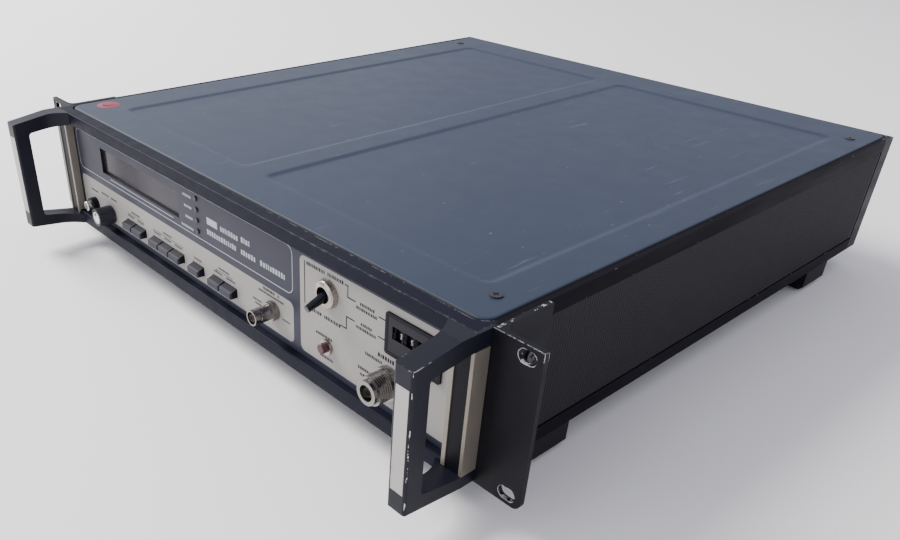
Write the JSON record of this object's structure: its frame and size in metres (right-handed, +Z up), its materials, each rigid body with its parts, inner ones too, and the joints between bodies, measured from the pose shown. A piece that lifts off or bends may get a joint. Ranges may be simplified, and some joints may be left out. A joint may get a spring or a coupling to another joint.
{
  "type": "frequency counter",
  "caption": "Low rack-width bench frequency counter with bail handles, rack ears, digit window, push buttons and coaxial inputs.",
  "frame": {"origin": "middle of the footprint at the soles of the feet", "axes": "+X to the right seen from the front, +Y from the front panel to the back, +Z up"},
  "size_m": [0.4826, 0.4958, 0.1045],
  "materials": {
    "annunciator_leds": "dark red lamps",
    "bnc_input": "nickel plate",
    "bottom_cover": "satin blue-grey paint",
    "case_screws": "blackened steel",
    "converter_module": "milled housing",
    "display_board": "glass-epoxy board",
    "display_window": "tinted acrylic",
    "fan_frame": "moulded black",
    "fan_rotor": "moulded black",
    "foot_screws": "blackened steel",
    "front_frame": "satin charcoal paint",
    "front_left_foot": "moulded black",
    "front_panel": "satin light beige-grey with dark printed fields",
    "front_right_foot": "moulded black",
    "lamp_bezel": "nickel plate",
    "lamp_lens": "red-brown",
    "left_handle": "satin navy-black paint, chipped at the edges",
    "left_handle_inlay": "brushed champagne anodise",
    "left_handle_trim": "brushed champagne anodise",
    "left_rack_ear": "satin navy-black paint, chipped at the edges",
    "left_side_frame": "satin black paint",
    "left_side_insert": "fine ribbed vinyl",
    "main_board": "glass-epoxy board",
    "mode_toggle_lever": "black lever",
    "mode_toggle_switch": "nickel plate",
    "n_input": "nickel plate",
    "plug_in_boards": "glass-epoxy board",
    "power_button": "polished",
    "power_inlet": "moulded black",
    "power_switch": "moulded black",
    "power_transformer": "varnished laminations",
    "push_button_1": "moulded charcoal",
    "push_button_2": "moulded charcoal",
    "push_button_3": "moulded charcoal",
    "push_button_4": "moulded charcoal",
    "push_button_5": "moulded charcoal",
    "push_button_6": "moulded charcoal",
    "push_button_7": "moulded charcoal",
    "push_button_8": "moulded charcoal",
    "rate_control": "moulded black",
    "rate_knob": "moulded black",
    "rear_connectors": "nickel plate",
    "rear_frame": "satin charcoal paint",
    "rear_left_foot": "moulded black",
    "rear_panel": "clear chromate",
    "rear_right_foot": "moulded black",
    "reservoir_capacitors": "sleeved cans",
    "right_handle": "satin navy-black paint, chipped at the edges",
    "right_handle_inlay": "brushed champagne anodise",
    "right_handle_trim": "brushed champagne anodise",
    "right_rack_ear": "satin navy-black paint, chipped at the edges",
    "right_side_frame": "satin black paint",
    "right_side_insert": "fine ribbed vinyl",
    "switch_board": "glass-epoxy board",
    "thumbwheel_1": "black with white digits",
    "thumbwheel_2": "black with white digits",
    "thumbwheel_3": "black with white digits",
    "thumbwheel_4": "black with white digits",
    "thumbwheel_housing": "moulded black",
    "top_cover": "satin blue-grey paint"
  },
  "bodies": {
    "cabinet": {"annunciator_leds": "annunciator_leds", "bnc_input": "bnc_input", "bottom_cover": "bottom_cover", "case_screws": "case_screws", "converter_module": "converter_module", "display_board": "display_board", "display_window": "display_window", "fan_frame": "fan_frame", "foot_screws": "foot_screws", "front_frame": "front_frame", "front_left_foot": "front_left_foot", "front_panel": "front_panel", "front_right_foot": "front_right_foot", "lamp_bezel": "lamp_bezel", "lamp_lens": "lamp_lens", "left_handle": "left_handle", "left_handle_inlay": "left_handle_inlay", "left_handle_trim": "left_handle_trim", "left_rack_ear": "left_rack_ear", "left_side_frame": "left_side_frame", "left_side_insert": "left_side_insert", "main_board": "main_board", "mode_toggle_switch": "mode_toggle_switch", "n_input": "n_input", "plug_in_boards": "plug_in_boards", "power_inlet": "power_inlet", "power_switch": "power_switch", "power_transformer": "power_transformer", "rate_control": "rate_control", "rear_connectors": "rear_connectors", "rear_frame": "rear_frame", "rear_left_foot": "rear_left_foot", "rear_panel": "rear_panel", "rear_right_foot": "rear_right_foot", "reservoir_capacitors": "reservoir_capacitors", "right_handle": "right_handle", "right_handle_inlay": "right_handle_inlay", "right_handle_trim": "right_handle_trim", "right_rack_ear": "right_rack_ear", "right_side_frame": "right_side_frame", "right_side_insert": "right_side_insert", "switch_board": "switch_board", "thumbwheel_housing": "thumbwheel_housing", "top_cover": "top_cover"},
    "fan_rotor": {"fan_rotor": "fan_rotor"},
    "mode_toggle_lever": {"mode_toggle_lever": "mode_toggle_lever"},
    "power_button": {"power_button": "power_button"},
    "push_button_1": {"push_button_1": "push_button_1"},
    "push_button_2": {"push_button_2": "push_button_2"},
    "push_button_3": {"push_button_3": "push_button_3"},
    "push_button_4": {"push_button_4": "push_button_4"},
    "push_button_5": {"push_button_5": "push_button_5"},
    "push_button_6": {"push_button_6": "push_button_6"},
    "push_button_7": {"push_button_7": "push_button_7"},
    "push_button_8": {"push_button_8": "push_button_8"},
    "rate_knob": {"rate_knob": "rate_knob"},
    "thumbwheel_1": {"thumbwheel_1": "thumbwheel_1"},
    "thumbwheel_2": {"thumbwheel_2": "thumbwheel_2"},
    "thumbwheel_3": {"thumbwheel_3": "thumbwheel_3"},
    "thumbwheel_4": {"thumbwheel_4": "thumbwheel_4"}
  },
  "joints": [
    {"name": "rate_knob_turn", "type": "hinge", "parent": "cabinet", "child": "rate_knob", "pos_m": [-0.1519, -0.20775, 0.0367], "axis": [0, 1, 0], "range_deg": [0, 300]},
    {"name": "power_button_push", "type": "slide", "parent": "cabinet", "child": "power_button", "axis": [0, 1, 0], "range_m": [0, 0.004], "stiffness_N_per_m": 500},
    {"name": "push_button_1_press", "type": "slide", "parent": "cabinet", "child": "push_button_1", "axis": [0, 1, 0], "range_m": [0, 0.003], "stiffness_N_per_m": 400},
    {"name": "push_button_2_press", "type": "slide", "parent": "cabinet", "child": "push_button_2", "axis": [0, 1, 0], "range_m": [0, 0.003], "stiffness_N_per_m": 400},
    {"name": "push_button_3_press", "type": "slide", "parent": "cabinet", "child": "push_button_3", "axis": [0, 1, 0], "range_m": [0, 0.003], "stiffness_N_per_m": 400},
    {"name": "push_button_4_press", "type": "slide", "parent": "cabinet", "child": "push_button_4", "axis": [0, 1, 0], "range_m": [0, 0.003], "stiffness_N_per_m": 400},
    {"name": "push_button_5_press", "type": "slide", "parent": "cabinet", "child": "push_button_5", "axis": [0, 1, 0], "range_m": [0, 0.003], "stiffness_N_per_m": 400},
    {"name": "push_button_6_press", "type": "slide", "parent": "cabinet", "child": "push_button_6", "axis": [0, 1, 0], "range_m": [0, 0.003], "stiffness_N_per_m": 400},
    {"name": "push_button_7_press", "type": "slide", "parent": "cabinet", "child": "push_button_7", "axis": [0, 1, 0], "range_m": [0, 0.003], "stiffness_N_per_m": 400},
    {"name": "push_button_8_press", "type": "slide", "parent": "cabinet", "child": "push_button_8", "axis": [0, 1, 0], "range_m": [0, 0.003], "stiffness_N_per_m": 400},
    {"name": "mode_toggle_throw", "type": "hinge", "parent": "cabinet", "child": "mode_toggle_lever", "pos_m": [0.1046, -0.20375, 0.0763], "axis": [-1, 0, 0], "range_deg": [0, 34]},
    {"name": "thumbwheel_1_turn", "type": "hinge", "parent": "cabinet", "child": "thumbwheel_1", "pos_m": [0.1588, -0.19415, 0.0743], "axis": [1, 0, 0], "continuous": true},
    {"name": "thumbwheel_2_turn", "type": "hinge", "parent": "cabinet", "child": "thumbwheel_2", "pos_m": [0.1664, -0.19415, 0.0743], "axis": [1, 0, 0], "continuous": true},
    {"name": "thumbwheel_3_turn", "type": "hinge", "parent": "cabinet", "child": "thumbwheel_3", "pos_m": [0.174, -0.19415, 0.0743], "axis": [1, 0, 0], "continuous": true},
    {"name": "thumbwheel_4_turn", "type": "hinge", "parent": "cabinet", "child": "thumbwheel_4", "pos_m": [0.1816, -0.19415, 0.0743], "axis": [1, 0, 0], "continuous": true},
    {"name": "fan_spin", "type": "hinge", "parent": "cabinet", "child": "fan_rotor", "pos_m": [0.118, 0.22025, 0.0599], "axis": [0, 1, 0], "continuous": true}
  ]
}
